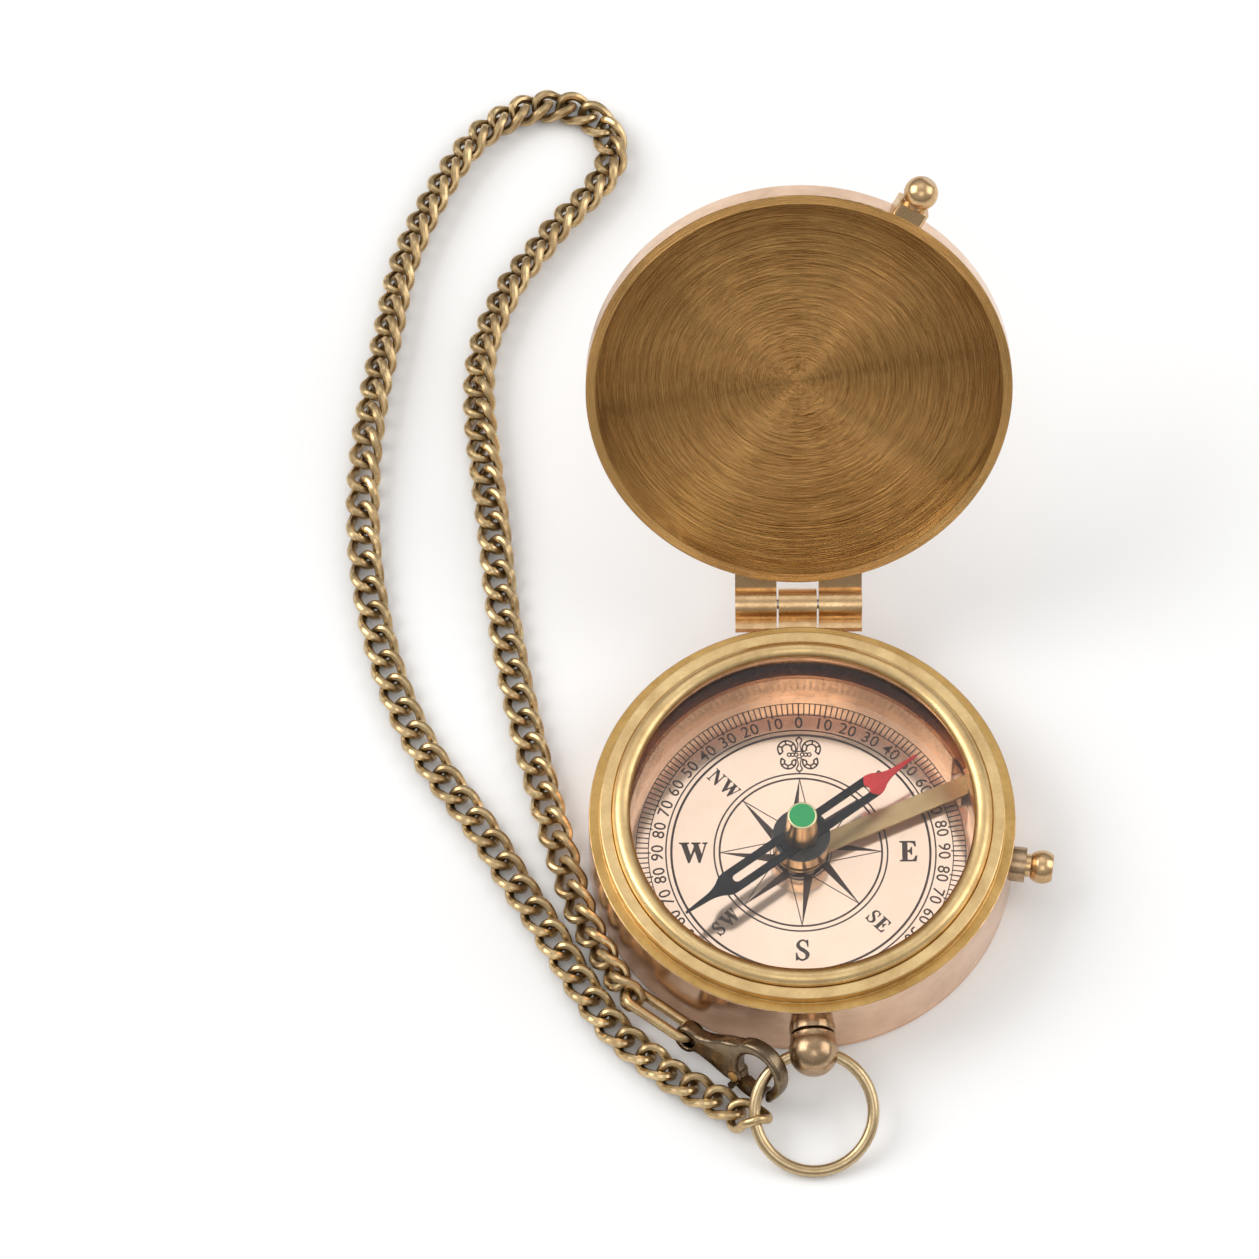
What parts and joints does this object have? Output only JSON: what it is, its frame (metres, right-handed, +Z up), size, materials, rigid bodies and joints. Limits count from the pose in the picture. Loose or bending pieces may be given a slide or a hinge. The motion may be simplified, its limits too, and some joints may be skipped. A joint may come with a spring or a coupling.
{
  "type": "pocket compass",
  "caption": "Round lidded pocket compass with a jewelled needle, a needle lock, a bow ring and a curb chain on a lobster clasp.",
  "frame": {"origin": "centre of the case's flat base", "axes": "+Z up out of the dial, +Y towards the lid's hinge, -Y towards the bow, +X towards the lock button"},
  "size_m": [0.0839, 0.1453, 0.0539],
  "materials": {
    "case_brass": "antiqued, satin",
    "bezel_brass": "brushed",
    "lid_brass": "antiqued, brushed inside",
    "dial_copper": "polished, printed in dark brown",
    "ring_brass": "polished",
    "needle_steel": "blued dark, north tip lacquered red",
    "pin_steel": "polished",
    "glass": "clear",
    "gasket": "matt",
    "jewel": "polished",
    "inlay": "enamel green",
    "bow_brass": "antiqued, polished",
    "chain_brass": "antiqued",
    "clasp_bronze": "dark patina",
    "spring_steel": "drawn"
  },
  "bodies": {
    "case": {"case_wall": "case_brass", "case_bottom": "case_brass", "bezel_ring": "bezel_brass", "crystal": "glass", "crystal_gasket": "gasket", "crystal_seat": "ring_brass", "dial_plate": "dial_copper", "dial_ring": "ring_brass", "pivot_boss": "ring_brass", "pivot_pin": "pin_steel", "lever_bracket": "ring_brass", "lever_pin": "pin_steel", "lever_spring": "spring_steel", "lock_bush": "case_brass", "bow_post": "bow_brass", "case_knuckle": "case_brass", "hinge_pin": "pin_steel", "jump_ring": "chain_brass", "chain_links": "chain_brass"},
    "lid": {"lid_shell": "lid_brass", "lid_knuckles": "case_brass", "lid_knob_collar": "case_brass", "lid_knob": "bezel_brass"},
    "button": {"lock_button": "case_brass"},
    "lever": {"lifter_lever": "ring_brass"},
    "lift": {"pivot_jewel": "jewel"},
    "needle": {"needle_blade": "needle_steel", "needle_disc": "needle_steel", "needle_hub": "ring_brass", "needle_cap": "ring_brass", "cap_inlay": "inlay"},
    "bow": {"bow_ring": "bow_brass", "chain_end_link": "chain_brass"},
    "clasp": {"clasp_body": "clasp_bronze", "clasp_rivet": "clasp_bronze", "clasp_spring": "spring_steel"},
    "gate": {"clasp_gate": "clasp_bronze"}
  },
  "joints": [
    {"name": "lid_hinge", "type": "hinge", "parent": "case", "child": "lid", "pos_m": [0, 0.0279, 0.0109], "axis": [1, 0, 0], "range_deg": [0, 126.7]},
    {"name": "button_slide", "type": "slide", "parent": "case", "child": "button", "axis": [-0.9903, 0.1392, 0], "range_m": [0, 0.0006], "stiffness_N_per_m": 300, "springref_m": -0.0005},
    {"name": "lever_pivot", "type": "hinge", "parent": "case", "child": "lever", "pos_m": [0.01918, 0.00752, 0.0016], "axis": [0.4003, 0.9164, 0], "range_deg": [0, 1.8], "deforming": ["lever_spring"]},
    {"name": "needle_lift", "type": "slide", "parent": "case", "child": "lift", "axis": [0, 0, 1], "range_m": [0, 0.00016]},
    {"name": "needle_spin", "type": "hinge", "parent": "lift", "child": "needle", "pos_m": [0, 0, 0.01], "axis": [0, 0, 1], "continuous": true},
    {"name": "bow_swing", "type": "hinge", "parent": "case", "child": "bow", "pos_m": [0.00093, -0.02805, 0.0065], "axis": [-1, 0, 0], "range_deg": [0, 30], "deforming": ["chain_links"]},
    {"name": "clasp_swing", "type": "hinge", "parent": "case", "child": "clasp", "pos_m": [-0.01332, -0.02441, 0.00295], "axis": [-0.5654, -0.8248, 0], "range_deg": [0, 7], "deforming": ["jump_ring"]},
    {"name": "gate_hinge", "type": "hinge", "parent": "clasp", "child": "gate", "pos_m": [-0.00779, -0.02899, 0.003], "axis": [-0.5975, -0.7173, 0.3585], "range_deg": [0, 8], "stiffness_Nm_per_rad": 0.002, "springref_deg": -11.46, "deforming": ["clasp_spring"]}
  ],
  "couplings": [
    {"joint": "lever_pivot", "follows": "button_slide", "rad_per_m": 48},
    {"joint": "needle_lift", "follows": "button_slide", "ratio": 0.25},
    {"joint": "clasp_swing", "follows": "bow_swing", "ratio": 0.218}
  ]
}
